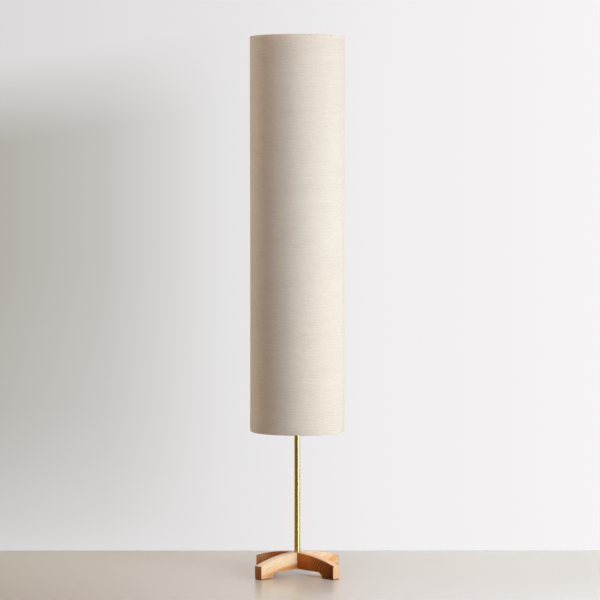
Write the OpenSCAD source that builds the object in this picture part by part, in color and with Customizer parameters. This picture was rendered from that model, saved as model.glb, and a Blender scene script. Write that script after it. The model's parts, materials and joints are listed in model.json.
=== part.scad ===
// Column floor lamp: a tall linen cylinder shade on a brass pole that stands on a crossed wooden base.
// +Z is up, the origin is on the floor under the pole, X runs along the lower beam of the base
// and Y along the upper one. Millimetres.

/* [Overall] */
// Height of the whole lamp, floor to the shade's top rim
overall_h = 1588; // [1500:1:1700]

/* [Base] */
// Length of each wooden beam
beam_l = 324; // [290:1:360]
// Thickness of each wooden beam
beam_t = 26.5; // [25:0.5:30]
// Height of the base at its centre, felt pads included
hub_h = 65; // [60:1:75]
// Radius of the arched top of each beam
crown_r = 520; // [450:5:700]
// Height of the arch under each beam, above the floor
arch_h = 17; // [15:0.5:20]
// Radius of the arch's rounded corners
arch_r = 20; // [15:0.5:25]
// Length of each foot along its beam
foot_l = 46.5; // [40:0.5:55]
// Thickness of the felt pad under each foot
pad_t = 2.5; // [1.5:0.5:4]

/* [Pole] */
// Outside diameter of the brass pole
pole_d = 18; // [17:0.5:20]
// Wall thickness of the pole
pole_wall = 1.2; // [1:0.1:1.5]
// Depth of the socket in the base that takes the pole's foot
pole_socket = 14; // [10:1:18]

/* [Lampholders] */
// Heights of the two side arms where they leave the pole, lower then upper
arm_z = [560, 1190];
// Directions in which the side arms point, in degrees about Z
arm_turn = [0, 180];
// Distance of each lampholder's axis from the pole's axis
lamp_offset = 48; // [46:1:60]
// Outside diameter of the side arms
arm_d = 10; // [9:0.5:10]
// Radius of the bend in each side arm
arm_bend = 22; // [20:1:26]

/* [Bulbs] */
// Diameter of each bulb's globe
globe_d = 60; // [55:1:62]
// Height of each bulb above the mouth of its screw shell
bulb_h = 85; // [80:1:95]

/* [Shade] */
// Outside diameter of the shade
shade_d = 279; // [260:1:300]
// Height of the shade
shade_h = 1163; // [1100:1:1200]
// Thickness of the linen
linen_t = 0.7; // [0.5:0.1:1]
// Thickness of the stiff liner that the linen is bonded to
liner_t = 0.5; // [0.3:0.1:0.8]
// Diameter of the wire of the two shade rings
ring_wire = 4; // [3:0.5:5]
// Diameter of the wire of the spider's arms
spider_wire = 3.2; // [2.5:0.1:4]
// How far the spider's hub lies below the top ring
spider_drop = 45; // [30:1:60]
// Directions of the spider's arms, in degrees about Z
spider_turn = [30, 150, 270];

/* [Hidden] */
$fn = 96;
fit = 0.1;          // clearance on a hole's diameter round a screwed or sliding piece
overlap = 1;        // how far a cutting shape runs past the face it cuts

wood = [0.80, 0.60, 0.40];
brass = [0.72, 0.53, 0.26];
steel = [0.62, 0.62, 0.63];
linen = [0.86, 0.81, 0.73];
liner_white = [0.94, 0.93, 0.90];
felt = [0.33, 0.24, 0.17];
black = [0.10, 0.10, 0.11];
opal = [0.95, 0.95, 0.92];
phenolic = [0.16, 0.13, 0.11];
aluminium = [0.78, 0.79, 0.80];
fibre = [0.66, 0.58, 0.47];
copper_red = [0.55, 0.14, 0.10];

// base
arch_half = beam_l / 2 - foot_l;
lap_z = (arch_h + hub_h) / 2;
pad_inset = 1;
recess_d = 21.5;
recess_h = 9;
recess_z = arch_h + recess_h;

// fastening of the pole to the base
nipple_d = 10;
nipple_bore = 7.5;
nipple_z = [arch_h + 1, hub_h + 14];
washer_d = 20.5;
washer_t = 1.5;
lock_washer_d = 17;
lock_washer_t = 1;
nut_flats = 14;
nut_t = 4;

// pole
pole_bore = pole_d - 2 * pole_wall;
pole_foot_z = hub_h - pole_socket;
insert_h = 22;
coupler_d = 24;
coupler_h = 34;
coupler_bore = 9;
boss_d = 17;
boss_x = 13.5;
spigot_h = 14;

// lampholder, in its own frame: z = 0 at the bottom of the cap, on the socket's axis
arm_bore = 7.5;
arm_end = 12;
cap_z = arm_bend + 4;
cap_h = 22;
socket_r = 16.5;
socket_top = 66;
block_r = 14.4;
block_z = [14, 38];
set_screw_z = 3;
set_screw_d = 3;
key_z = 27;
key_d = 4;
screw_r = 13.2;
screw_z = [block_z[1], 62];
bulb_foot_z = 41.2;
globe_foot_z = screw_z[1] + 18;

// leads
lead_d = 2.6;
lead_x = 1.5;
lead_bend = 5;

// shade
shade_r = shade_d / 2;
shade_z = overall_h - shade_h;
hem_r = ring_wire / 2 + linen_t;
ring_r = shade_r - hem_r;
ring_z = [shade_z + hem_r, overall_h - hem_r];
slit_w = 6;
seam_w = 12;
seam_t = 0.4;
seam_turn = 45;
hub_d = 32;
hub_t = 2.4;
spider_z = ring_z[1] - spider_drop;
stud_d = 6;
flange_d = 22;
flange_t = 5;
pole_top_z = spider_z - hub_t / 2 - flange_t;
wire_bend = 10;

// ---------- shared shapes ----------

// A tube along +Z
module tube(outer_d, inner_d, h) {
    difference() {
        cylinder(d = outer_d, h = h);
        translate([0, 0, -overlap]) cylinder(d = inner_d, h = h + 2 * overlap);
    }
}

// A hexagonal nut along +Z, measured across its flats
module hex_nut(flats, bore_d, h) {
    difference() {
        cylinder(d = flats / cos(30), h = h, $fn = 6);
        translate([0, 0, -overlap]) cylinder(d = bore_d, h = h + 2 * overlap);
    }
}

// A quarter bend in the XZ plane: it leaves the origin along +X and ends going up, at [r, 0, r]
module bend_up(r) {
    translate([0, 0, r]) rotate([90, 0, 0])
        rotate_extrude(angle = 90, start = 270) translate([r, 0]) children();
}

// Puts its children at lampholder i, with X pointing away from the pole and z = 0 at the arm's height
module at_arm(i) {
    translate([0, 0, arm_z[i]]) rotate([0, 0, arm_turn[i]]) children();
}

// Puts its children on the axis of socket i, with z = 0 at the bottom of the cap
module at_socket(i) {
    at_arm(i) translate([lamp_offset, 0, cap_z]) children();
}

// ---------- base ----------

// Side view of a beam: an arched top, and an arch underneath that leaves a foot at each end
module beam_profile() {
    corner_x = arch_half - sqrt(pow(arch_r, 2) - pow(arch_r - arch_h + pad_t, 2));
    difference() {
        intersection() {
            translate([-beam_l / 2, pad_t]) square([beam_l, hub_h - pad_t]);
            translate([0, hub_h - crown_r]) circle(r = crown_r);
        }
        hull() for (side = [-1, 1])
            translate([side * corner_x, arch_h - arch_r]) circle(r = arch_r);
    }
}

// A beam along X before its half-lap and bores are cut
module beam_blank() {
    translate([0, beam_t / 2, 0]) rotate([90, 0, 0]) linear_extrude(beam_t) beam_profile();
}

// The housing of the half-lap: from z upwards or downwards, one beam wide
module lap(z, h) {
    translate([-beam_t / 2, -beam_t, z]) cube([beam_t, 2 * beam_t, h]);
}

module lower_beam() {
    color(wood) difference() {
        beam_blank();
        lap(lap_z, hub_h);
        translate([0, 0, -overlap]) cylinder(d = nipple_d + 2 * fit, h = hub_h);
        translate([0, 0, -overlap]) cylinder(d = recess_d, h = recess_z + overlap);
    }
}

module upper_beam() {
    color(wood) difference() {
        rotate([0, 0, 90]) beam_blank();
        rotate([0, 0, 90]) lap(-overlap, lap_z + overlap);
        translate([0, 0, -overlap]) cylinder(d = nipple_d + 2 * fit, h = hub_h);
        translate([0, 0, pole_foot_z]) cylinder(d = pole_d + 2 * fit, h = hub_h);
    }
}

module foot_pads() {
    pad_l = foot_l - 2 * pad_inset;
    pad_w = beam_t - 2 * pad_inset;
    color(felt) for (turn = [0, 90, 180, 270])
        rotate([0, 0, turn]) translate([beam_l / 2 - pad_inset - pad_l, -pad_w / 2, 0])
            cube([pad_l, pad_w, pad_t]);
}

module base_nipple() {
    color(steel) translate([0, 0, nipple_z[0]])
        tube(nipple_d, nipple_bore, nipple_z[1] - nipple_z[0]);
}

module base_washer() {
    color(steel) translate([0, 0, recess_z - washer_t])
        tube(washer_d, nipple_d + 2 * fit, washer_t);
}

// A toothed washer: a ring whose rim is cut into short teeth
module base_lock_washer() {
    teeth = 12;
    color(steel) translate([0, 0, recess_z - washer_t - lock_washer_t]) difference() {
        tube(lock_washer_d, nipple_d + 2 * fit, lock_washer_t);
        for (i = [0 : teeth - 1])
            rotate([0, 0, i * 360 / teeth])
                translate([lock_washer_d / 2 - 1.6, -0.6, -overlap]) cube([3, 1.2, 3]);
    }
}

module base_nut() {
    color(brass) translate([0, 0, recess_z - washer_t - lock_washer_t - nut_t])
        hex_nut(nut_flats, nipple_d + fit, nut_t);
}

// The inlet for the supply cord: a flanged bush in the lower end of the nipple
module cord_bushing() {
    color(black) {
        translate([0, 0, arch_h]) tube(12.5, 6, nipple_z[0] - arch_h);
        translate([0, 0, nipple_z[0]]) tube(nipple_bore, 6, 7);
    }
}

// ---------- pole ----------

module pole_section(z0, z1) {
    color(brass) translate([0, 0, z0]) tube(pole_d, pole_bore, z1 - z0);
}

module lower_pole() {
    pole_section(pole_foot_z, arm_z[0] - coupler_h / 2);
}

module middle_pole() {
    pole_section(arm_z[0] + coupler_h / 2, arm_z[1] - coupler_h / 2);
}

module upper_pole() {
    pole_section(arm_z[1] + coupler_h / 2, pole_top_z);
}

module pole_foot_insert() {
    color(steel) translate([0, 0, pole_foot_z]) tube(pole_bore, nipple_d + fit, insert_h);
}

// A turned coupler: a drum with chamfered rims, a threaded spigot up and down, and a boss for the arm
module coupler(i) {
    chamfer = 1.5;
    color(brass) at_arm(i) difference() {
        union() {
            rotate_extrude() polygon([
                [0, -coupler_h / 2], [coupler_d / 2 - chamfer, -coupler_h / 2],
                [coupler_d / 2, -coupler_h / 2 + chamfer], [coupler_d / 2, coupler_h / 2 - chamfer],
                [coupler_d / 2 - chamfer, coupler_h / 2], [0, coupler_h / 2]
            ]);
            for (side = [-1, 1])
                translate([0, 0, side * (coupler_h + spigot_h) / 2])
                    cylinder(d = pole_bore, h = spigot_h, center = true);
            rotate([0, 90, 0]) cylinder(d = boss_d, h = boss_x);
        }
        translate([0, 0, -coupler_h]) cylinder(d = coupler_bore, h = 2 * coupler_h);
        rotate([0, 90, 0]) cylinder(d = arm_d + fit, h = boss_x + overlap);
    }
}

module lower_coupler() { coupler(0); }
module upper_coupler() { coupler(1); }

// The seat of the shade: a spigot in the pole, a flange, and a stud for the finial
module pole_top_plug() {
    stud_h = hub_t + 15;
    color(brass) {
        translate([0, 0, pole_top_z - 16]) cylinder(d = pole_bore, h = 16);
        translate([0, 0, pole_top_z]) rotate_extrude() polygon([
            [0, 0], [flange_d / 2 - 1, 0], [flange_d / 2, 1], [flange_d / 2, flange_t], [0, flange_t]
        ]);
        translate([0, 0, pole_top_z + flange_t]) cylinder(d = stud_d, h = stud_h);
    }
}

// A turned knob with a waist, a round head and a blind threaded hole
module finial() {
    head_r = 8;
    waist_h = 6;
    color(brass) translate([0, 0, spider_z + hub_t / 2]) difference() {
        union() {
            rotate_extrude() polygon([
                [0, 0], [7, 0], [7, 1.5], [4.5, 3.5], [4.5, waist_h + 1], [0, waist_h + 1]
            ]);
            translate([0, 0, waist_h + head_r]) sphere(r = head_r);
        }
        translate([0, 0, -overlap]) cylinder(d = stud_d + fit, h = 16.5 + overlap);
    }
}

// ---------- leads inside the pole and arms ----------

// One lead from the cord inlet up the pole, out along an arm and up to its contact block
module lamp_lead(i, sheath) {
    run_x = lamp_offset - arm_bend;
    top_z = cap_z + block_z[0];
    color(sheath) at_arm(i) {
        translate([lead_x, 0, arch_h - arm_z[i]])
            cylinder(d = lead_d, h = arm_z[i] - arch_h - lead_bend);
        translate([lead_x + lead_bend, 0, -lead_bend]) rotate([90, 0, 0])
            rotate_extrude(angle = 90, start = 90) translate([lead_bend, 0]) circle(d = lead_d);
        translate([lead_x + lead_bend, 0, 0]) rotate([0, 90, 0])
            cylinder(d = lead_d, h = run_x - lead_x - lead_bend);
        translate([run_x, 0, 0]) bend_up(arm_bend) circle(d = lead_d);
        translate([lamp_offset, 0, arm_bend]) cylinder(d = lead_d, h = top_z - arm_bend);
    }
}

module lower_lamp_lead() { lamp_lead(0, black); }
module upper_lamp_lead() { lamp_lead(1, copper_red); }

// ---------- side arms ----------

// The ring section of an arm's tube
module arm_ring() {
    difference() {
        circle(d = arm_d);
        circle(d = arm_bore);
    }
}

module arm(i) {
    inner_x = 5.5;
    run_x = lamp_offset - arm_bend;
    color(brass) at_arm(i) {
        translate([inner_x, 0, 0]) rotate([0, 90, 0]) tube(arm_d, arm_bore, run_x - inner_x);
        translate([run_x, 0, 0]) bend_up(arm_bend) arm_ring();
        translate([lamp_offset, 0, arm_bend]) tube(arm_d, arm_bore, arm_end);
    }
}

module lower_arm() { arm(0); }
module upper_arm() { arm(1); }

module arm_nut(i) {
    color(brass) at_arm(i) translate([boss_x, 0, 0]) rotate([0, 90, 0])
        hex_nut(nut_flats, arm_d + fit, nut_t);
}

module lower_arm_nut() { arm_nut(0); }
module upper_arm_nut() { arm_nut(1); }

// ---------- lampholders ----------

// A spun cap: a neck round the arm, a bell, and a straight rim that holds the shell
module socket_cap(i) {
    wall = 1.2;
    neck_r = 7.5;
    neck_h = 5;
    bell_r = socket_r - neck_r;
    color(brass) at_socket(i) difference() {
        union() {
            cylinder(r = neck_r, h = neck_h + 1);
            translate([0, 0, neck_h]) rotate_extrude() difference() {
                square([socket_r, bell_r]);
                translate([socket_r, 0]) circle(r = bell_r);
            }
            translate([0, 0, neck_h + bell_r]) cylinder(r = socket_r, h = cap_h - neck_h - bell_r);
        }
        translate([0, 0, -overlap]) cylinder(d = arm_d + fit, h = cap_h);
        translate([0, 0, set_screw_z]) rotate([0, 90, 0]) cylinder(d = set_screw_d + fit, h = cap_h);
        translate([0, 0, neck_h + bell_r - 2]) cylinder(r = 9, h = cap_h);
        translate([0, 0, block_z[0]]) cylinder(r = socket_r - wall, h = cap_h);
    }
}

module lower_socket_cap() { socket_cap(0); }
module upper_socket_cap() { socket_cap(1); }

// Slotted grub screws that clamp the caps on their arms
module cap_set_screws() {
    color(steel) for (i = [0, 1])
        at_socket(i) translate([0, 0, set_screw_z]) rotate([0, 90, 0]) difference() {
            translate([0, 0, arm_d / 2]) cylinder(d = set_screw_d, h = 4);
            translate([-0.3, -set_screw_d, arm_d / 2 + 3]) cube([0.6, 2 * set_screw_d, 2]);
        }
}

// The moulded switch block, with the bearing for the key
module contact_block(i) {
    color(phenolic) at_socket(i) difference() {
        union() {
            translate([0, 0, block_z[0]]) cylinder(r = block_r, h = block_z[1] - block_z[0] - 2);
            translate([0, 0, block_z[1] - 2]) cylinder(r = screw_r, h = 2);
        }
        translate([4, 0, key_z]) rotate([0, 90, 0]) cylinder(d = key_d + fit, h = block_r);
    }
}

module lower_contact_block() { contact_block(0); }
module upper_contact_block() { contact_block(1); }

// A sprung tongue that is riveted to the block and rises to touch the bulb
module centre_contact(i) {
    color(brass) at_socket(i) translate([0, 0, block_z[1]]) {
        translate([-9, -2.5, 0]) cube([9, 5, 0.6]);
        translate([0, 2.5, 0]) rotate([90, 0, 0]) linear_extrude(5)
            polygon([[-2, 0], [-1, 0], [4, 2.6], [4, 3.2], [3, 3.2], [-2, 0.6]]);
        translate([-6, 0, 0.6]) cylinder(d = 3, h = 0.8);
    }
}

module lower_centre_contact() { centre_contact(0); }
module upper_centre_contact() { centre_contact(1); }

// The threaded liner that the bulb screws into, with its foot ring round the block
module screw_shell(i) {
    wall = 0.5;
    color(aluminium) at_socket(i) {
        translate([0, 0, block_z[1] - 2])
            tube(2 * (screw_r + wall), 2 * screw_r, screw_z[1] - block_z[1] + 2);
    }
}

module lower_screw_shell() { screw_shell(0); }
module upper_screw_shell() { screw_shell(1); }

module insulating_sleeve(i) {
    color(fibre) at_socket(i) translate([0, 0, block_z[1] - 2]) tube(31, 28, 26);
}

module lower_insulating_sleeve() { insulating_sleeve(0); }
module upper_insulating_sleeve() { insulating_sleeve(1); }

// The outer shell: a waist that snaps into the cap, a straight barrel, two beads and a key hole
module socket_shell(i) {
    wall = 0.8;
    waist_r = socket_r - 1.25;
    bead = 0.8;
    color(brass) at_socket(i) difference() {
        union() {
            translate([0, 0, 16]) cylinder(r = waist_r, h = 6);
            translate([0, 0, cap_h]) cylinder(r = socket_r, h = socket_top - cap_h);
            for (z = [46, socket_top - 2 * bead])
                translate([0, 0, z]) cylinder(r = socket_r + bead, h = 2 * bead);
        }
        translate([0, 0, 15]) cylinder(r = waist_r - wall, h = 8);
        translate([0, 0, cap_h + wall]) cylinder(r = socket_r - wall, h = socket_top);
        translate([10, 0, key_z]) rotate([0, 90, 0]) cylinder(d = 6.5, h = 10);
    }
}

module lower_socket_shell() { socket_shell(0); }
module upper_socket_shell() { socket_shell(1); }

// The turn key of the rotary switch: a stem in the block and a flat grip outside the shell
module switch_key(i) {
    grip_t = 3.2;
    color(black) at_socket(i) translate([0, 0, key_z]) rotate([0, 90, 0]) {
        translate([0, 0, 5]) cylinder(d = key_d, h = 15);
        translate([0, 0, socket_r + 1]) cylinder(d = 7.5, h = 5);
        translate([0, grip_t / 2, socket_r + 4]) rotate([90, 0, 0]) linear_extrude(grip_t) {
            translate([-3, 0]) square([6, 12]);
            for (side = [-1, 1]) translate([side * 3.6, 8]) circle(r = 5);
        }
    }
}

module lower_switch_key() { switch_key(0); }
module upper_switch_key() { switch_key(1); }

// ---------- bulbs ----------

module bulb_cap(i) {
    r = screw_r - 0.25;
    color(aluminium) at_socket(i) rotate_extrude() polygon([
        [0, bulb_foot_z], [4.5, bulb_foot_z], [5.5, bulb_foot_z + 1.2], [9, bulb_foot_z + 2.5],
        [r, bulb_foot_z + 4], [r, screw_z[1] + 1], [0, screw_z[1] + 1]
    ]);
}

module lower_bulb_cap() { bulb_cap(0); }
module upper_bulb_cap() { bulb_cap(1); }

// The plastic collar between the screw cap and the globe
module bulb_collar(i) {
    foot = screw_z[1] + 1;
    color(opal) at_socket(i) rotate_extrude() polygon([
        [0, foot], [12.2, foot], [13.2, foot + 1], [14.2, foot + 6], [18.4, globe_foot_z - 1],
        [18.4, globe_foot_z], [0, globe_foot_z]
    ]);
}

module lower_bulb_collar() { bulb_collar(0); }
module upper_bulb_collar() { bulb_collar(1); }

// Half the outline of a globe of radius r on a neck of radius neck: a cone that meets the ball tangentially
module globe_outline(r, neck, centre) {
    reach = norm([neck, centre]);
    turn = acos(r / reach) + atan2(neck, centre);
    touch = [r * sin(turn), centre - r * cos(turn)];
    intersection() {
        union() {
            translate([0, centre]) circle(r = r);
            polygon([[0, 0], [neck, 0], touch, [0, centre]]);
        }
        square([2 * r, 2 * centre + r]);
    }
}

module bulb_globe(i) {
    wall = 1;
    r = globe_d / 2;
    centre = screw_z[1] + bulb_h - r - globe_foot_z;
    color(opal) at_socket(i) translate([0, 0, globe_foot_z]) rotate_extrude() difference() {
        globe_outline(r, 18, centre);
        translate([0, -0.01]) globe_outline(r - wall, 18 - wall, centre);
    }
}

module lower_bulb_globe() { bulb_globe(0); }
module upper_bulb_globe() { bulb_globe(1); }

// ---------- shade ----------

// The linen is rolled over a wire ring at each rim. A slit over the top rim clears each spider arm
module shade_linen() {
    color(linen) difference() {
        union() {
            translate([0, 0, ring_z[0]]) tube(shade_d, shade_d - 2 * linen_t, ring_z[1] - ring_z[0]);
            for (z = ring_z)
                translate([0, 0, z]) rotate_extrude() translate([ring_r, 0]) difference() {
                    circle(r = hem_r);
                    circle(d = ring_wire);
                }
            rotate([0, 0, seam_turn]) translate([0, 0, ring_z[0]])
                rotate_extrude(angle = seam_w / shade_r * 180 / PI)
                    translate([shade_r - linen_t, 0]) square([linen_t + seam_t, ring_z[1] - ring_z[0]]);
        }
        for (turn = spider_turn) rotate([0, 0, turn]) {
            translate([ring_r - 2 * hem_r, -slit_w / 2, ring_z[1] - 2 * hem_r])
                cube([2 * hem_r, slit_w, 4 * hem_r]);
            translate([ring_r, -slit_w / 2, ring_z[1] - ring_wire / 4])
                cube([2 * hem_r, slit_w, 2 * hem_r]);
        }
    }
}

module shade_liner() {
    gap = hem_r + 0.1;
    color(liner_white) translate([0, 0, ring_z[0] + gap])
        tube(shade_d - 2 * linen_t, shade_d - 2 * (linen_t + liner_t), ring_z[1] - ring_z[0] - 2 * gap);
}

module wire_ring(z) {
    color(steel) translate([0, 0, z]) rotate_extrude() translate([ring_r, 0])
        circle(d = ring_wire);
}

module top_ring() { wire_ring(ring_z[1]); }
module bottom_ring() { wire_ring(ring_z[0]); }

module spider_hub() {
    color(steel) translate([0, 0, spider_z - hub_t / 2]) tube(hub_d, stud_d + fit, hub_t);
}

// Each arm drops from the ring along the liner, bends inwards and runs to the hub
module spider_arms() {
    drop_x = ring_r - ring_wire / 2 - spider_wire / 2;
    color(steel) for (turn = spider_turn) rotate([0, 0, turn]) {
        translate([hub_d / 2, 0, spider_z]) rotate([0, 90, 0])
            cylinder(d = spider_wire, h = drop_x - wire_bend - hub_d / 2);
        translate([drop_x - wire_bend, 0, spider_z]) bend_up(wire_bend) circle(d = spider_wire);
        translate([drop_x, 0, spider_z + wire_bend])
            cylinder(d = spider_wire, h = spider_drop - wire_bend);
    }
}

// ---------- nodes ----------

lower_beam();
upper_beam();
foot_pads();
base_nipple();
base_washer();
base_lock_washer();
base_nut();
cord_bushing();
pole_foot_insert();
lower_pole();
middle_pole();
upper_pole();
lower_coupler();
upper_coupler();
pole_top_plug();
finial();
lower_lamp_lead();
upper_lamp_lead();
lower_arm();
upper_arm();
lower_arm_nut();
upper_arm_nut();
lower_socket_cap();
upper_socket_cap();
cap_set_screws();
lower_contact_block();
upper_contact_block();
lower_centre_contact();
upper_centre_contact();
lower_screw_shell();
upper_screw_shell();
lower_insulating_sleeve();
upper_insulating_sleeve();
lower_socket_shell();
upper_socket_shell();
lower_switch_key();
upper_switch_key();
lower_bulb_cap();
upper_bulb_cap();
lower_bulb_collar();
upper_bulb_collar();
lower_bulb_globe();
upper_bulb_globe();
shade_linen();
shade_liner();
top_ring();
bottom_ring();
spider_hub();
spider_arms();
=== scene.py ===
"""Column floor lamp: the looks of every piece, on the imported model's frame. Metres, +Z up.

The photograph's camera looks along +X+Y. In the helpers below, "right" and "near" mean the photograph's right
and towards its camera. Colours are linear, and a texture's scale counts its waves in a metre.
"""
import json
import math

import bmesh
import bpy
from mathutils import Matrix, Vector

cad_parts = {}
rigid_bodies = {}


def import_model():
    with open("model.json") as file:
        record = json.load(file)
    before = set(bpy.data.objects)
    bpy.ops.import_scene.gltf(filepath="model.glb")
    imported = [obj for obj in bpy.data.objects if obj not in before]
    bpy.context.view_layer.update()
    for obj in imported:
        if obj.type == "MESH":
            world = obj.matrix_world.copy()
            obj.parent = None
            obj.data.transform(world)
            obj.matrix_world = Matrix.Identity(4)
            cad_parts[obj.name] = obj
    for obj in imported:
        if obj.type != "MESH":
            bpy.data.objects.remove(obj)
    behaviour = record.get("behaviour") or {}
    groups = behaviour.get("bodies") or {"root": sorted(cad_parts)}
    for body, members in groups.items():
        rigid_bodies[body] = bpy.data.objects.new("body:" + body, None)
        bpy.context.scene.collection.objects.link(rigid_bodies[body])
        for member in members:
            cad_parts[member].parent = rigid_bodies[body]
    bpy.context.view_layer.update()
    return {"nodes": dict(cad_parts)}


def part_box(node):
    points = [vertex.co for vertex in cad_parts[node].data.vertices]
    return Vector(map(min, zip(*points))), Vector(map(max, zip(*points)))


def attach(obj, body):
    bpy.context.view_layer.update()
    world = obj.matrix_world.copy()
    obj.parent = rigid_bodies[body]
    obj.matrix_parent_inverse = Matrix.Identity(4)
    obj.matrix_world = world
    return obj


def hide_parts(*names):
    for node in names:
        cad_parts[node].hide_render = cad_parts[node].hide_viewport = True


for leftover in list(bpy.data.objects):
    bpy.data.objects.remove(leftover)

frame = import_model()
NODES = frame["nodes"]

# ---------- sizes, worked out from the frame ----------

RING_LO, RING_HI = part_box("top_ring")
WIRE_R = (RING_HI.z - RING_LO.z) / 2
RING_R = (RING_HI.x - RING_LO.x) / 2 - WIRE_R
TOP_RING_Z = (RING_LO.z + RING_HI.z) / 2
BOTTOM_RING_Z = sum(corner.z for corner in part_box("bottom_ring")) / 2
HEM_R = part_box("shade_linen")[1].z - TOP_RING_Z
SHADE_R = RING_R + HEM_R
LINEN_T = HEM_R - WIRE_R
BEAM_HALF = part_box("lower_beam")[1].x

# ---------- camera, from a least-squares fit of the photograph ----------

IMAGE_PX = 600
FOCAL_PX = 2434                 # focal length in pixels of the 600-pixel frame
CAMERA_DISTANCE = 7.177         # along the floor, from the lamp's axis
CAMERA_HEIGHT = 1.165
CAMERA_PITCH = 0.049            # radians below the horizon
AXIS_PX = 297.3                 # image column of the lamp's axis
SENSOR_MM = 36
CAMERA_REACH = 50

RIGHT = Vector((1, -1, 0)).normalized()
NEAR = Vector((-1, -1, 0)).normalized()
UP = Vector((0, 0, 1))


def at(right, near, up):
    """A point given by its distances to the photograph's right, towards its camera, and up."""
    return RIGHT * right + NEAR * near + UP * up


def make_camera():
    data = bpy.data.cameras.new("camera")
    data.sensor_width = SENSOR_MM
    data.lens = FOCAL_PX * SENSOR_MM / IMAGE_PX
    data.clip_end = CAMERA_REACH
    cam = bpy.data.objects.new("camera", data)
    bpy.context.scene.collection.objects.link(cam)
    ahead = -NEAR * math.cos(CAMERA_PITCH) - UP * math.sin(CAMERA_PITCH)
    sideways = (IMAGE_PX / 2 - AXIS_PX) * CAMERA_DISTANCE / FOCAL_PX
    turn = Matrix((RIGHT, RIGHT.cross(ahead), -ahead)).transposed()
    cam.matrix_world = Matrix.Translation(at(sideways, CAMERA_DISTANCE, CAMERA_HEIGHT)) @ turn.to_4x4()
    bpy.context.scene.camera = cam


# ---------- node helpers ----------

class Nodes:
    """A node tree, with short names for the nodes that the materials and the world share."""

    def __init__(self, tree):
        self.tree = tree
        self.tree.nodes.clear()

    def node(self, kind, **settings):
        made = self.tree.nodes.new(kind)
        for key, value in settings.items():
            setattr(made, key, value)
        return made

    def link(self, source, target):
        self.tree.links.new(source, target)

    def put(self, socket, value):
        """Sets a socket to a number or colour, or links it to another socket."""
        if isinstance(value, bpy.types.NodeSocket):
            self.link(value, socket)
        elif isinstance(value, tuple) and len(value) == 3 and socket.type == "RGBA":
            socket.default_value = (*value, 1)
        else:
            socket.default_value = value

    def math(self, operation, a, b=0.0, c=0.0):
        made = self.node("ShaderNodeMath", operation=operation)
        for socket, value in zip(made.inputs, (a, b, c)):
            self.put(socket, value)
        return made.outputs["Value"]

    def weighed(self, *parts):
        """The sum of (value, weight) parts."""
        total = 0.0
        for value, weight in parts:
            total = self.math("MULTIPLY_ADD", value, weight, total)
        return total

    def length(self, *parts):
        """The length of a vector with these parts."""
        squares = 0.0
        for part in parts:
            squares = self.math("MULTIPLY_ADD", part, part, squares)
        return self.math("SQRT", squares)

    def dot(self, vector, direction):
        made = self.node("ShaderNodeVectorMath", operation="DOT_PRODUCT")
        self.link(vector, made.inputs[0])
        made.inputs[1].default_value = direction
        return made.outputs["Value"]

    def stretch(self, vector, scale):
        """The vector times a number, or times one number for each axis."""
        made = self.node("ShaderNodeVectorMath", operation="MULTIPLY")
        self.link(vector, made.inputs[0])
        made.inputs[1].default_value = scale if isinstance(scale, tuple) else (scale, scale, scale)
        return made.outputs["Vector"]

    def split(self, vector):
        made = self.node("ShaderNodeSeparateXYZ")
        self.link(vector, made.inputs["Vector"])
        return made.outputs["X"], made.outputs["Y"], made.outputs["Z"]

    def join(self, x, y, z):
        made = self.node("ShaderNodeCombineXYZ")
        for socket, value in zip(made.inputs, (x, y, z)):
            self.put(socket, value)
        return made.outputs["Vector"]

    def noise(self, vector, detail=2.0, roughness=0.5, distortion=0.0):
        """Soft noise from 0 to 1, with one wave in each unit of the vector."""
        made = self.node("ShaderNodeTexNoise")
        self.link(vector, made.inputs["Vector"])
        made.inputs["Scale"].default_value = 1.0
        made.inputs["Detail"].default_value = detail
        made.inputs["Roughness"].default_value = roughness
        made.inputs["Distortion"].default_value = distortion
        return made.outputs["Fac"]

    def ramp(self, factor, *stops):
        """A colour ramp through (place, colour) stops."""
        made = self.node("ShaderNodeValToRGB")
        self.link(factor, made.inputs["Fac"])
        marks = made.color_ramp.elements
        while len(marks) < len(stops):
            marks.new(0.5)
        for mark, (place, colour) in zip(marks, stops):
            mark.position = place
            mark.color = (*colour, 1)
        return made.outputs["Color"]

    def remap(self, value, low, high, to_low=0.0, to_high=1.0):
        """Moves the range low to high onto the range to_low to to_high, and holds the value inside it."""
        made = self.node("ShaderNodeMapRange")
        for key, given in (("Value", value), ("From Min", low), ("From Max", high),
                           ("To Min", to_low), ("To Max", to_high)):
            self.put(made.inputs[key], given)
        return made.outputs["Result"]

    def mix(self, factor, a, b, blend="MIX"):
        made = self.node("ShaderNodeMix", data_type="RGBA", blend_type=blend)
        self.put(made.inputs["Factor"], factor)
        self.put(made.inputs["A"], a)
        self.put(made.inputs["B"], b)
        return made.outputs["Result"]

    def times(self, colour, factor, amount=1.0):
        """The colour multiplied, by that amount, by a number or by another colour."""
        return self.mix(amount, colour, factor, "MULTIPLY")

    def mix_shaders(self, factor, a, b):
        made = self.node("ShaderNodeMixShader")
        for socket, source in zip(made.inputs, (factor, a, b)):
            self.link(source, socket)
        return made.outputs["Shader"]


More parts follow.
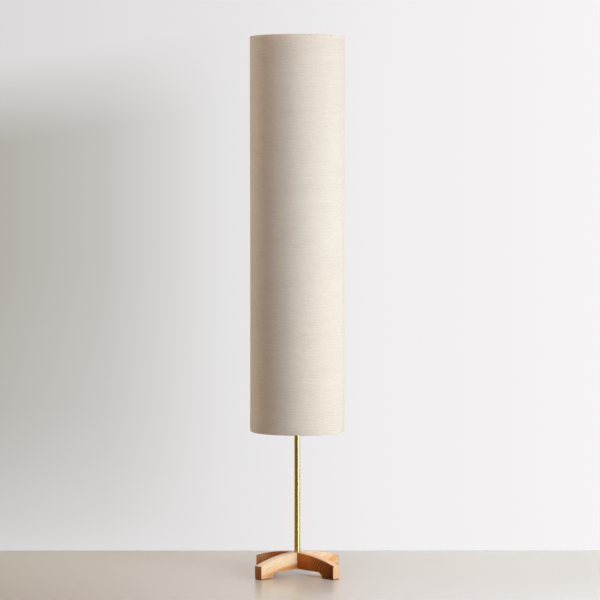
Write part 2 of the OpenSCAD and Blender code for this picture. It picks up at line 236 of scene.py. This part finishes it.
class Shader(Nodes):
    """A material's nodes, round one Principled surface."""

    def __init__(self, name):
        self.material = bpy.data.materials.new(name)
        self.material.use_nodes = True
        super().__init__(self.material.node_tree)
        self.surface = self.node("ShaderNodeBsdfPrincipled")
        self.output = self.node("ShaderNodeOutputMaterial")
        self.link(self.surface.outputs["BSDF"], self.output.inputs["Surface"])

    def set(self, **sockets):
        """Sets the surface's sockets: base_color=..., roughness=... and so on."""
        for key, value in sockets.items():
            self.put(self.surface.inputs[key.replace("_", " ").title().replace("Ior", "IOR")], value)

    def position(self, scale=1, turn=(0, 0, 0)):
        """The piece's own coordinates in metres, turned, then scaled."""
        place = self.node("ShaderNodeMapping")
        place.inputs["Rotation"].default_value = turn
        self.link(self.node("ShaderNodeTexCoord").outputs["Object"], place.inputs["Vector"])
        return self.stretch(place.outputs["Vector"], scale)

    def uv(self, scale=1):
        return self.stretch(self.node("ShaderNodeTexCoord").outputs["UV"], scale)

    def bump(self, height, depth, strength=1.0):
        """A bump of that depth in metres, on the surface's normal."""
        made = self.node("ShaderNodeBump")
        made.inputs["Strength"].default_value = strength
        made.inputs["Distance"].default_value = depth
        self.link(height, made.inputs["Height"])
        self.link(made.outputs["Normal"], self.surface.inputs["Normal"])


def grey(value):
    return (value, value, value)


# ---------- linen ----------

LINEN_LIGHT = (0.80, 0.745, 0.64)
LINEN_MID = (0.745, 0.68, 0.565)
LINEN_DARK = (0.65, 0.58, 0.46)
YARN_PITCH = 0.00085
SEAM_FROM = math.radians(45)    # the lapped seam, at the back
SEAM_WIDTH = 0.012
LAP_SHADOW_U = SEAM_FROM * SHADE_R + SEAM_WIDTH + 0.00045     # a painted shadow line just past the seam's lap
LAP_SHADOW_FADE = (0.0003, 0.0008)


def plain_weave(s):
    """Yarns that pass over and under each other: 1 on a yarn's crest, 0 at its edge."""
    u, v, _ = s.split(s.uv(math.pi / YARN_PITCH))
    weft = s.math("ABSOLUTE", s.math("SINE", v))
    warp = s.math("ABSOLUTE", s.math("SINE", u))
    weft_on_top = s.math("GREATER_THAN", s.math("MULTIPLY", s.math("SINE", s.math("ADD", u, v)),
                                                s.math("SINE", s.math("SUBTRACT", u, v))), 0.0)
    warp_on_top = s.math("SUBTRACT", 1.0, weft_on_top)
    return s.weighed((weft, weft_on_top), (warp, warp_on_top))


def linen():
    """Plain weave with thick and thin yarns: short slubs across, fainter ones down, with painted shade where
    the yarns dip and a painted shadow line past the seam's lap. UVs are in metres.
    """
    s = Shader("linen")
    slubs = s.noise(s.uv((45, 800, 1)), detail=3, roughness=0.6)
    bands = s.noise(s.uv((18, 330, 1)), detail=4, roughness=0.6)
    cockle = s.noise(s.uv((95, 250, 1)), detail=2, roughness=0.6)
    drift = s.noise(s.uv((5, 30, 1)), detail=3)
    warp_slubs = s.noise(s.uv((900, 22, 1)), detail=3, roughness=0.6)
    weave = plain_weave(s)
    tone = s.weighed((slubs, 0.36), (bands, 0.32), (drift, 0.12), (warp_slubs, 0.20))
    colour = s.ramp(tone, (0.36, LINEN_DARK), (0.48, LINEN_MID), (0.62, LINEN_LIGHT))
    # Painted shade: the weave is darker where each yarn dips at its edge.
    colour = s.times(colour, s.remap(weave, 0.0, 0.5, 0.80, 1.0), amount=0.8)
    # Painted shadow: a darker line just past the seam's lap.
    from_lap = s.math("ABSOLUTE", s.math("SUBTRACT", s.split(s.uv())[0], LAP_SHADOW_U))
    colour = s.times(colour, s.remap(from_lap, *LAP_SHADOW_FADE, 0.78, 1.0))
    s.set(base_color=colour, roughness=0.92, specular_ior_level=0.25, sheen_weight=0.12, sheen_roughness=0.5)
    s.bump(s.weighed((weave, 0.15), (slubs, 0.35), (bands, 0.8), (cockle, 2.4)), 0.0005, 0.6)
    return s.material


# ---------- wood ----------

PALE = (0.98, 0.77, 0.52)
WARM = (0.90, 0.50, 0.21)
# Painted shade: a dark orange for the wood low down by the hub, where the beams meet.
HUB_PAINTED_SHADE = (0.65, 0.255, 0.062)
# Painted light: the paler colour of faces that look up.
PAINTED_LIT_TOP = (0.98, 0.80, 0.60)
LATE = (0.76, 0.40, 0.17)
# Painted shade: the dark red-brown of the face turned away from the light; the pores take this colour too.
PORES_AND_PAINTED_SHADE = (0.68, 0.210, 0.031)
# Painted shade, deeper towards that face's -along end.
DEEPER_PAINTED_SHADE = (0.165, 0.030, 0.004)
# The late-wood rings within that painted shade.
LATE_WOOD_IN_PAINTED_SHADE = (0.18, 0.055, 0.018)
PAINTED_SHADE_SLANT = 0.020             # how much the painted shade's edge drifts across the board along it
PAINTED_SHADE_BLUR = 0.001
END_GRAIN_FROM = BEAM_HALF - 0.0016     # distances from the hub, on the beam's eased end
END_GRAIN_FULL = BEAM_HALF - 0.0008


def late_wood(s, along, across, up, grain, wander, ring_pitch, pith, swirl):
    """How much of each ring's dark late wood shows, from 0 to 1. Parts of a board are nearly clear of it."""
    wave = s.noise(s.stretch(grain, (28, 55, 55)), detail=2)
    off = s.math("MULTIPLY", s.math("SUBTRACT", along, swirl[0]), swirl[1])
    from_pith = s.length(s.math("SUBTRACT", across, pith[0]), s.math("SUBTRACT", up, pith[1]), off)
    radius = s.weighed((from_pith, 1.0), (wander, 0.026), (wave, 0.010))
    ring = s.math("FRACT", s.math("DIVIDE", radius, ring_pitch))
    late = s.ramp(ring, (0.0, grey(0.0)), (0.50, grey(0.30)), (0.86, grey(1.0)), (1.0, grey(0.05)))
    if swirl[1]:
        shown = s.math("MULTIPLY", s.remap(radius, 0.030, 0.044, 0.35, 1.0),
                       s.remap(off, 0.056, 0.076, 1.0, 0.05))
        shown = s.math("MAXIMUM", shown, s.remap(along, 0.02, 0.05, 0.0, 0.7))
    else:
        shown = s.remap(s.noise(s.stretch(grain, (11, 30, 30)), detail=1), 0.38, 0.62, 0.15, 1.0)
    return s.math("MULTIPLY", late, shown)


def sapwood(s, along, height, grain, late, painted_shade_below, painted_lit_top):
    """Pale wood, warmer in patches and towards the +along end. Near the hub, under the line
    painted_shade_below, it is painted darker and warmer: painted shade where the beams meet. Faces that look
    up are painted paler: painted light.
    """
    patches = s.noise(s.stretch(grain, (9, 40, 40)), detail=2)
    from_hub = s.math("ABSOLUTE", along)
    above_line = s.math("SUBTRACT", s.math("MULTIPLY_ADD", from_hub, painted_shade_below[1], height), painted_shade_below[0])
    # Painted shade: darker and warmer low down near the hub, where the beams meet.
    hub_painted_shade = s.math("MULTIPLY", s.remap(above_line, -0.006, 0.005, 1.0, 0.0),
                       s.remap(from_hub, 0.03, 0.10, 0.62, 0.24))
    warm_end = s.remap(along, 0.02, 0.09, 0.0, 0.15)
    warmth = s.weighed((patches, 1.0), (hub_painted_shade, 1.0), (warm_end, 1.0))
    colour = s.ramp(warmth, (0.44, PALE), (0.72, WARM), (0.98, HUB_PAINTED_SHADE))
    colour = s.mix(s.math("MULTIPLY", late, 0.5), colour, LATE)
    # Painted light: faces that look up are painted paler.
    faces_up = s.split(s.node("ShaderNodeNewGeometry").outputs["Normal"])[2]
    return s.mix(s.remap(faces_up, 0.5, 0.9, 0.0, painted_lit_top), colour, PAINTED_LIT_TOP)


def painted_shade_face(s, along, wander, late):
    """Painted shade on the face turned away from the light: dark red-brown with its late-wood rings, deeper
    towards the -along end.
    """
    toward_end = s.remap(s.weighed((wander, 0.05), (along, -1.0)), 0.115, 0.175)
    return s.mix(late, s.mix(toward_end, PORES_AND_PAINTED_SHADE, DEEPER_PAINTED_SHADE), LATE_WOOD_IN_PAINTED_SHADE)


def wood(name, turn, ring_pitch, pith, painted_shade_edge, end_grain_and_shade, seed, climb=0.0, swirl=(0.0, 0.0),
         painted_shade_below=(0.0, 0.0), painted_lit_top=0.0):
    """Plain-sawn hardwood: rings round a log whose centre lies at pith = (across, up), off the board, and
    that climbs along it. At swirl = (place along, strength) the log bends and its rings close into ovals.
    Past painted_shade_edge, across the board, its face is painted dark red-brown: painted shade on the face
    turned away from the light. Under the line painted_shade_below = (height at the hub, climb), near the hub,
    the pale wood is painted darker and warmer: painted shade where the beams meet. painted_lit_top is how far
    faces that look up are painted paler: painted light. end_grain_and_shade colours the ends: end grain, with
    painted shade on the lower beam."""
    s = Shader(name)
    along, across, height = s.split(s.position(turn=(0, 0, turn)))
    up = s.math("MULTIPLY_ADD", along, -climb, height)
    grain = s.join(s.math("ADD", along, seed), across, up)
    wander = s.noise(s.stretch(grain, (7, 18, 18)), detail=2)
    fibres = s.noise(s.stretch(grain, (30, 1500, 1500)), detail=3, roughness=0.65)
    pores = s.remap(s.noise(s.stretch(grain, (70, 2600, 2600)), detail=1), 0.66, 0.74)
    late = late_wood(s, along, across, up, grain, wander, ring_pitch, pith, swirl)
    # Painted shade: past this edge, across the board, the face turned away from the light is painted dark
    # red-brown.
    reach = s.weighed((along, -PAINTED_SHADE_SLANT), (wander, 0.004), (across, 1.0))
    in_painted_shade = s.remap(reach, painted_shade_edge - PAINTED_SHADE_BLUR, painted_shade_edge + PAINTED_SHADE_BLUR)
    colour = s.mix(in_painted_shade, sapwood(s, along, height, grain, late, painted_shade_below, painted_lit_top),
                   painted_shade_face(s, along, wander, late))
    # The ends take their end grain's colour; the lower beam's is darkened by painted shade, as its seen end
    # faces away from the light.
    at_end = s.remap(s.math("ABSOLUTE", along), END_GRAIN_FROM, END_GRAIN_FULL)
    colour = s.mix(at_end, colour, s.mix(s.math("MULTIPLY", late, 0.35), end_grain_and_shade, LATE))
    colour = s.times(colour, s.remap(fibres, 0.35, 0.75, 1.06, 0.80))
    colour = s.mix(s.math("MULTIPLY", pores, 0.5), colour, PORES_AND_PAINTED_SHADE)
    s.set(base_color=colour, roughness=s.remap(fibres, 0.3, 0.7, 0.42, 0.58), specular_ior_level=0.22,
          coat_weight=0.02, coat_roughness=0.35)
    s.bump(s.weighed((late, 0.4), (pores, -1.0)), 0.00012, 0.5)
    return s.material


# ---------- the other materials ----------

def metal(name, colour, tarnish, roughness, grain, patchy=0.25, uneven=0.14, relief=0.000005):
    """Drawn or turned metal: fine lines along its grain, and soft patches of tarnish."""
    s = Shader(name)
    lines = s.noise(s.position(grain), detail=3, roughness=0.6)
    patches = s.noise(s.position((16, 16, 9)), detail=4, roughness=0.6)
    s.set(base_color=s.mix(s.remap(patches, 0.42, 0.75, 0.0, patchy), colour, tarnish), metallic=1.0,
          roughness=s.remap(s.math("ADD", lines, patches), 0.7, 1.3, roughness - 0.4 * uneven,
                            roughness + 0.6 * uneven))
    s.bump(lines, relief, 0.4)
    return s.material


def moulded(name, colour, roughness, texture=0.00003, mottle=0.06):
    """Moulded plastic or a powder coat: a fine pebbled skin with barely uneven colour."""
    s = Shader(name)
    pebbles = s.noise(s.position(1400), detail=2)
    cloud = s.noise(s.position(35), detail=3)
    darker = tuple(c * (1 - mottle) for c in colour)
    s.set(base_color=s.mix(cloud, colour, darker), specular_ior_level=0.5,
          roughness=s.remap(cloud, 0.3, 0.7, roughness - 0.04, roughness + 0.04))
    s.bump(pebbles, texture, 0.6)
    return s.material


def felt():
    """Matted brown fibres."""
    s = Shader("felt")
    fibres = s.noise(s.position(1800), detail=4, roughness=0.7, distortion=0.6)
    s.set(base_color=s.ramp(fibres, (0.3, (0.045, 0.030, 0.020)), (0.7, (0.115, 0.078, 0.052))),
          roughness=1.0, specular_ior_level=0.1, sheen_weight=0.3, sheen_roughness=0.6)
    s.bump(fibres, 0.0003, 0.9)
    return s.material


def opal():
    """The white glass of an unlit bulb, faintly cloudy."""
    s = Shader("opal_glass")
    cloud = s.noise(s.position(22), detail=3)
    grain = s.noise(s.position(2600), detail=1)
    s.set(base_color=s.mix(cloud, (0.90, 0.90, 0.875), (0.865, 0.86, 0.83)), specular_ior_level=0.5,
          roughness=s.remap(cloud, 0.3, 0.7, 0.24, 0.32), coat_weight=0.25, coat_roughness=0.12)
    s.bump(grain, 0.000004, 0.5)
    return s.material


def board():
    """The fibre board of the insulating sleeves."""
    s = Shader("sleeve_board")
    fibres = s.noise(s.position((260, 260, 900)), detail=4, roughness=0.65)
    s.set(base_color=s.ramp(fibres, (0.3, (0.30, 0.24, 0.165)), (0.7, (0.46, 0.38, 0.275))), roughness=0.9,
          specular_ior_level=0.2)
    s.bump(fibres, 0.0001, 0.6)
    return s.material


def film():
    """The stiff film behind the linen: one even colour, with a fine speckle in its gloss and surface."""
    s = Shader("liner")
    speckle = s.noise(s.position(900), detail=2)
    s.set(base_color=(0.84, 0.8175, 0.765), specular_ior_level=0.45,
          roughness=s.remap(speckle, 0.3, 0.7, 0.36, 0.50))
    s.bump(speckle, 0.00003, 0.5)
    return s.material


MATERIALS = {
    "linen": linen(),
    "liner": film(),
    "brass": metal("brass", (0.72, 0.52, 0.17), (0.58, 0.38, 0.10), 0.25, grain=(1200, 1200, 4), uneven=0.05,
                   relief=0.0000012),
    "zinc_steel": metal("zinc_steel", (0.60, 0.60, 0.60), (0.38, 0.37, 0.34), 0.33, grain=600),
    "aluminium": metal("aluminium", (0.80, 0.80, 0.81), (0.62, 0.62, 0.62), 0.24, grain=(90, 90, 1500),
                       patchy=0.15),
    "felt": felt(),
    "black_plastic": moulded("black_plastic", (0.020, 0.019, 0.018), 0.42, mottle=0.3),
    "black_lead": moulded("black_lead", (0.018, 0.018, 0.018), 0.5, mottle=0.3),
    "red_lead": moulded("red_lead", (0.22, 0.025, 0.015), 0.5, mottle=0.2),
    "phenolic": moulded("phenolic", (0.035, 0.024, 0.018), 0.35, texture=0.00002, mottle=0.35),
    "white_plastic": moulded("white_plastic", (0.84, 0.84, 0.81), 0.45),
    "ring_steel": metal("ring_steel", (0.42, 0.41, 0.39), (0.22, 0.20, 0.17), 0.38, grain=700, patchy=0.5),
    "opal_glass": opal(),
    "sleeve_board": board(),
}

WOODS = {
    # The lower beam's dark end colour is end grain with painted shade added.
    "lower_beam": wood("wood_lower_beam", turn=0, ring_pitch=0.0075, pith=(0.055, -0.045), painted_shade_edge=0.05,
                       end_grain_and_shade=(0.43, 0.16, 0.046), seed=0.31, climb=0.28, painted_shade_below=(0.036, 0.12),
                       painted_lit_top=0.9),
    "upper_beam": wood("wood_upper_beam", turn=-math.pi / 2, ring_pitch=0.0092, pith=(0.030, 0.020),
                       painted_shade_edge=0.012, end_grain_and_shade=(0.84, 0.53, 0.31), seed=0.05, swirl=(-0.146, 0.9),
                       painted_lit_top=0.3),
}


# ---------- mesh helpers ----------

def add_piece(name, bm, body, material, smooth_deg=35):
    """Makes a bmesh a shaded piece that rides on a body and takes its finish from a material slot."""
    bmesh.ops.recalc_face_normals(bm, faces=bm.faces)
    mesh = bpy.data.meshes.new(name)
    bm.to_mesh(mesh)
    bm.free()
    mesh.materials.append(material)
    mesh.shade_smooth()
    mesh.set_sharp_from_angle(angle=math.radians(smooth_deg))
    piece = bpy.data.objects.new(name, mesh)
    bpy.context.scene.collection.objects.link(piece)
    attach(piece, body)
    return piece


def smooth_step(value, low, high):
    t = min(1.0, max(0.0, (value - low) / (high - low)))
    return t * t * (3 - 2 * t)


def finish_node(name):
    """Gives a CAD node the detailed material of its slot in the record."""
    for slot in NODES[name].material_slots:
        slot.material = MATERIALS.get(slot.material.name, slot.material)


# ---------- base ----------

BOARD_EASE = 0.0011             # how wide the edges are rounded
PAD_EASE = 0.0005
HUB_BORES_R = 0.0115            # the bores in the hub lie inside this radius and stay sharp
WELD = 1e-6
FLAT_DEG = 0.2                  # below this angle two faces are one
SHARP_DEG = 28                  # above it the edge between them is eased


def eased_copy(name, new_name, body, material, width, keep_sharp=lambda point: False):
    """A copy of a CAD node with its sharp edges rounded to that width, in place of the node."""
    bm = bmesh.new()
    bm.from_mesh(NODES[name].data)
    bmesh.ops.remove_doubles(bm, verts=bm.verts, dist=WELD)
    bmesh.ops.dissolve_limit(bm, angle_limit=math.radians(FLAT_DEG), verts=bm.verts, edges=bm.edges)
    sharp = [e for e in bm.edges if len(e.link_faces) == 2 and e.calc_face_angle() > math.radians(SHARP_DEG)
             and not keep_sharp((e.verts[0].co + e.verts[1].co) / 2)]
    bmesh.ops.bevel(bm, geom=sharp, offset=width, segments=3, profile=0.5, affect="EDGES", clamp_overlap=True)
    piece = add_piece(new_name, bm, body, material)
    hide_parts(name)


def make_base():
    for name in ("lower_beam", "upper_beam"):
        eased_copy(name, name + "_board", "lamp", WOODS[name], BOARD_EASE,
                   keep_sharp=lambda point: point.xy.length < HUB_BORES_R)
    eased_copy("foot_pads", "felt_pads", "lamp", MATERIALS["felt"], PAD_EASE)


# ---------- shade ----------

AROUND = 400                    # columns of the mesh
WALL_ROWS = 72
HEM_STEPS = 18
HEM_TURN = math.radians(290)    # how far the linen is rolled round each ring
HEM_CLEAR = 1.4                 # where the wall's inside starts from a ring, in hem radii
SEAM_STEP = 0.0005
ARM_TURNS = [math.radians(a) for a in (30, 150, 270)]
SLIT_WIDTH = 0.006              # the top hem is cut over each of the spider's arms
SLIT_FOOT = 0.2                 # how far below the ring's middle the cut ends, in hem radii
SLIT_SINK = 0.6                 # how near the cut cloth lies to the wire's middle, which shows in the slit
CRISP = 0.00008                 # width of a crisp step in the cloth
HOLLOW = 0.00016                # depth of the slow hollows
PUCKER = 0.00009                # depth of the puckers
PUCKER_REACH = 0.05             # how far they run from a rim


def shade_profile():
    """Points (radius, height, part) round the cloth's section, from the foot of the outer face."""
    points = []
    for i in range(WALL_ROWS + 1):
        points.append((SHADE_R, BOTTOM_RING_Z + (TOP_RING_Z - BOTTOM_RING_Z) * i / WALL_ROWS, "wall"))
    for i in range(1, HEM_STEPS + 1):
        a = HEM_TURN * i / HEM_STEPS
        points.append((RING_R + HEM_R * math.cos(a), TOP_RING_Z + HEM_R * math.sin(a), "top"))
    inner_r = SHADE_R - LINEN_T / 2
    points.append((inner_r, TOP_RING_Z - HEM_CLEAR * HEM_R, "inside"))
    points.append((inner_r, BOTTOM_RING_Z + HEM_CLEAR * HEM_R, "inside"))
    for i in range(HEM_STEPS, 0, -1):
        a = HEM_TURN * i / HEM_STEPS
        points.append((RING_R + HEM_R * math.cos(a), BOTTOM_RING_Z - HEM_R * math.sin(a), "bottom"))
    return points


def shade_turns():
    """Angles round the shade, with extra ones where the seam and the slits need a crisp edge."""
    turns = [2 * math.pi * i / AROUND for i in range(AROUND)]
    edges = [SEAM_FROM, SEAM_FROM + SEAM_WIDTH / SHADE_R]
    for arm in ARM_TURNS:
        edges += [arm - SLIT_WIDTH / 2 / RING_R, arm + SLIT_WIDTH / 2 / RING_R]
    for edge in edges:
        turns += [edge, edge + CRISP / SHADE_R]
    return sorted(t % (2 * math.pi) for t in turns)


def ripple(turn, height):
    """How far the stretched cloth stands from a true cylinder: slow hollows, and puckers near the hems."""
    slow = (math.sin(3 * turn + 2.1 * height + 0.4) + math.sin(5 * turn - 3.3 * height + 1.9)
            + 0.8 * math.sin(8 * turn + 5.7 * height))
    from_rim = min(height - BOTTOM_RING_Z, TOP_RING_Z - height)
    fade = 1 - smooth_step(from_rim, 0.0, PUCKER_REACH)
    quick = math.sin(61 * turn + 1.3) + 0.7 * math.sin(97 * turn) + 0.5 * math.sin(143 * turn + 0.6)
    return HOLLOW * slow + PUCKER * fade * quick


def cloth_point(turn, radius, height, part):
    """Where a point of the section lies at that angle: rippled, raised on the seam, sunk in a slit."""
    on_seam = SEAM_FROM < turn <= SEAM_FROM + SEAM_WIDTH / SHADE_R
    in_slit = any(abs(turn - arm) <= SLIT_WIDTH / 2 / RING_R for arm in ARM_TURNS)
    if part == "wall":
        radius += ripple(turn, height) + (SEAM_STEP if on_seam else 0)
    elif part == "top" and in_slit and height > TOP_RING_Z - SLIT_FOOT * HEM_R:
        radius = RING_R + (radius - RING_R) * SLIT_SINK
        height = TOP_RING_Z + (height - TOP_RING_Z) * SLIT_SINK
    return (radius * math.cos(turn), radius * math.sin(turn), height)


def make_shade_linen():
    """The cloth as one closed skin: its section swept round, with UVs in metres round and along it."""
    profile = shade_profile()
    turns = shade_turns()
    lengths = [0.0]
    for (r0, z0, _), (r1, z1, _) in zip(profile, profile[1:] + profile[:1]):
        lengths.append(lengths[-1] + math.hypot(r1 - r0, z1 - z0))
    bm = bmesh.new()
    uv = bm.loops.layers.uv.new("metres")
    columns = [[bm.verts.new(cloth_point(turn, *point)) for point in profile] for turn in turns]
    for i, turn in enumerate(turns):
        j = (i + 1) % len(turns)
        u0, u1 = turn * SHADE_R, (turns[j] if j else 2 * math.pi + turns[0]) * SHADE_R
        for k in range(len(profile)):
            m = (k + 1) % len(profile)
            face = bm.faces.new((columns[i][k], columns[j][k], columns[j][m], columns[i][m]))
            for loop, place in zip(face.loops, ((u0, lengths[k]), (u1, lengths[k]),
                                                (u1, lengths[k + 1]), (u0, lengths[k + 1]))):
                loop[uv].uv = place
    piece = add_piece("shade_cloth", bm, "shade", MATERIALS["linen"])
    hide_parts("shade_linen")


# ---------- stage ----------

STAGE_HALF = 7.0
STAGE_SPAN = (-1.0, 1.0)        # the stretch, from left to right, over which the tones below run

WALL_BEHIND = 0.45              # from the lamp's axis to the foot of the wall
WALL_PAINT = (0.80, 0.75, 0.69)
# The wall's tones, seen by the camera, are painted light and shade: a painted soft shadow over the lower left
# and painted shade towards the left at the top.
WALL_TONE = ((0.03, (0.455, 0.43, 0.395)), (0.20, (0.56, 0.54, 0.515)), (0.39, (0.785, 0.775, 0.78)),
             (0.62, (0.875, 0.86, 0.868)), (1.0, (0.925, 0.91, 0.92)))
WALL_TOP_TONE = ((0.0, (0.705, 0.69, 0.695)), (0.4, (0.795, 0.78, 0.785)), (0.62, (0.872, 0.857, 0.863)),
                 (1.0, (0.925, 0.91, 0.92)))
WALL_TOP = (1.43, 1.69)         # heights over which the top tone takes over from the painted shadow below, at the lamp
WALL_TOP_RISE = 0.16            # how much higher that is for each metre to the right
# Painted light: the wall is lighter along its foot.
WALL_FOOT_PAINTED_LIGHT = ((0.0, grey(0.87)), (0.11, grey(0.60)), (0.27, grey(0.36)), (0.45, grey(0.17)),
                  (0.9, grey(0.0)))

# Painted shade: the floor is darker and warmer to the left.
FLOOR_TONE = ((0.0, (0.455, 0.43, 0.325)), (0.36, (0.69, 0.645, 0.565)), (0.50, (0.68, 0.65, 0.55)),
              (0.62, (0.70, 0.695, 0.65)), (1.0, (0.70, 0.705, 0.655)))
FLOOR_DEPTH = (-WALL_BEHIND, 0.40)      # from the wall's foot to just above the picture's lower edge
FLOOR_PAINTED_FALLOFF = (1.04, 0.94)       # painted light and shade: how bright the floor is painted at these two places
FLOOR_SPECK = (0.3, 0.28, 0.25)
BOUNCE = (0.60, 0.50, 0.40)     # how much of its light the floor passes back to the lamp
FAR_FLOOR = (1.06, 2.3)         # distances from the lamp over which the floor turns from lit to painted
FAR_TONE = (0.86, 0.84, 0.81)
FAR_GLOW = 0.62


def sheet_object(name, corners, material):
    mesh = bpy.data.meshes.new(name)
    mesh.from_pydata(corners, [], [tuple(range(len(corners)))])
    mesh.materials.append(material)
    made = bpy.data.objects.new(name, mesh)
    bpy.context.scene.collection.objects.link(made)


def stage_coordinates(s):
    """The world position of a stage surface as distances to the right, towards the camera and up."""
    place = s.node("ShaderNodeNewGeometry").outputs["Position"]
    return [s.dot(place, direction) for direction in (RIGHT, NEAR, UP)]


def wall_material():
    """Pale plaster, with a painted soft shadow over its lower left, painted shade towards the left at the
    top, and painted light along its foot. Its back is clear, so that views from behind see the lamp.
    """
    s = Shader("wall")
    right, _, up = stage_coordinates(s)
    across = s.remap(right, *STAGE_SPAN)
    top = s.ramp(across, *WALL_TOP_TONE)
    level = s.math("MULTIPLY_ADD", right, -WALL_TOP_RISE, up)
    # Painted shadow over the lower left, painted shade towards the left at the top, painted light along the
    # foot.
    tone = s.mix(s.remap(level, *WALL_TOP), s.ramp(across, *WALL_TONE), top)
    tone = s.mix(s.ramp(up, *WALL_FOOT_PAINTED_LIGHT), tone, top)
    painted = s.node("ShaderNodeEmission")
    s.link(tone, painted.inputs["Color"])
    rays = s.node("ShaderNodeLightPath").outputs
    watched = s.math("MAXIMUM", rays["Is Camera Ray"],
                     s.math("MAXIMUM", rays["Is Glossy Ray"], rays["Is Transmission Ray"]))
    s.set(base_color=WALL_PAINT, roughness=0.9)
    front = s.mix_shaders(watched, s.surface.outputs["BSDF"], painted.outputs["Emission"])
    behind = s.node("ShaderNodeNewGeometry").outputs["Backfacing"]
    clear = s.node("ShaderNodeBsdfTransparent").outputs["BSDF"]
    s.link(s.mix_shaders(behind, front, clear), s.output.inputs["Surface"])
    return s.material


def floor_material():
    """Pale, slightly glossy floor, with painted shade making it darker and warmer to the left, and painted
    light making it a little brighter towards the wall than near the camera. Far off, where the lights don't
    reach, it shows a pale tone of its own, to the camera only."""
    s = Shader("floor")
    right, near, _ = stage_coordinates(s)
    speckle = s.noise(s.stretch(s.node("ShaderNodeNewGeometry").outputs["Position"], 900), detail=2)
    # Painted shade to the left; painted light and shade from the wall towards the camera.
    tone = s.ramp(s.remap(right, *STAGE_SPAN), *FLOOR_TONE)
    tone = s.times(tone, s.remap(near, *FLOOR_DEPTH, *FLOOR_PAINTED_FALLOFF))
    tone = s.mix(s.math("MULTIPLY", speckle, 0.06), tone, FLOOR_SPECK)
    watched = s.node("ShaderNodeLightPath").outputs["Is Camera Ray"]
    glow = s.math("MULTIPLY", watched, s.remap(s.length(right, near), *FAR_FLOOR, 0.0, FAR_GLOW))
    s.set(base_color=s.mix(watched, s.times(tone, BOUNCE), tone), roughness=0.24, specular_ior_level=0.4,
          emission_color=FAR_TONE, emission_strength=glow)
    return s.material


def make_stage():
    far = STAGE_HALF
    sheet_object("floor", [at(-far, far, 0), at(-far, -far, 0), at(far, -far, 0), at(far, far, 0)],
                 floor_material())
    sheet_object("wall", [at(-far, -WALL_BEHIND, 0), at(far, -WALL_BEHIND, 0), at(far, -WALL_BEHIND, far),
                          at(-far, -WALL_BEHIND, far)], wall_material())


# ---------- lights ----------

ROOM_GLOW = ((0.0, (0.04, 0.012, 0.002)), (1.0, (0.11, 0.015, 0.002)))
MIRRORED_ROOM = ((0.0, (0.30, 0.19, 0.09)), (0.50, (0.28, 0.18, 0.08)), (0.56, (0.12, 0.06, 0.02)),
                 (0.72, (0.12, 0.06, 0.02)), (0.86, (1.0, 1.0, 1.0)))
SEEN_ROOM = (0.84, 0.83, 0.82)


def make_lamp(name, place, aim, size, watts, colour, mirrored=True):
    data = bpy.data.lights.new(name, "AREA")
    data.shape = "RECTANGLE"
    data.size, data.size_y = size
    data.energy = watts
    data.color = colour
    made = bpy.data.objects.new(name, data)
    made.location = place
    made.rotation_euler = (aim - place).to_track_quat("-Z", "Y").to_euler()
    made.visible_camera = False
    made.visible_glossy = mirrored
    bpy.context.scene.collection.objects.link(made)


def make_lights():
    """A tall cool key and a low warm fill at the right, a warm lamp overhead, and a rim light at the left."""
    make_lamp("key", at(1.62, 1.49, 0.9), aim=at(0, 0, 0.9), size=(0.6, 2.7), watts=58,
              colour=(0.63, 0.77, 1.0))
    make_lamp("low", at(1.75, 1.35, 0.4), aim=at(0, 0, 0.5), size=(1.3, 0.7), watts=15.5,
              colour=(1.0, 0.94, 0.62))
    make_lamp("overhead", at(0.15, 0.65, 3.2), aim=at(0, 0, 0), size=(1.6, 1.6), watts=34,
              colour=(1.0, 0.80, 0.68))
    make_lamp("rim", at(-2.2, -0.38, 1.1), aim=at(0, 0, 1.0), size=(0.3, 2.2), watts=27,
              colour=(1.0, 1.0, 0.97), mirrored=False)


def make_world():
    """The room round the stage. It lights the lamp with a faint warm glow, metal mirrors it warm at the left
    and white at the right, and where the camera sees past the stage it is pale."""
    world = bpy.data.worlds.new("studio")
    bpy.context.scene.world = world
    world.use_nodes = True
    s = Nodes(world.node_tree)
    rightward = s.remap(s.dot(s.node("ShaderNodeTexCoord").outputs["Generated"], RIGHT), -1.0, 1.0)

    def background(colour):
        made = s.node("ShaderNodeBackground")
        s.put(made.inputs["Color"], colour)
        return made.outputs["Background"]

    rays = s.node("ShaderNodeLightPath").outputs
    watched = s.math("MAXIMUM", rays["Is Camera Ray"], rays["Is Transmission Ray"])
    shown = s.mix_shaders(rays["Is Glossy Ray"], background(s.ramp(rightward, *ROOM_GLOW)),
                          background(s.ramp(rightward, *MIRRORED_ROOM)))
    shown = s.mix_shaders(watched, shown, background(SEEN_ROOM))
    s.link(shown, s.node("ShaderNodeOutputWorld").inputs["Surface"])


# ---------- the whole ----------

make_camera()
make_base()
make_shade_linen()
for name in NODES:
    finish_node(name)
make_stage()
make_lights()
make_world()
bpy.context.scene.view_settings.view_transform = "Standard"
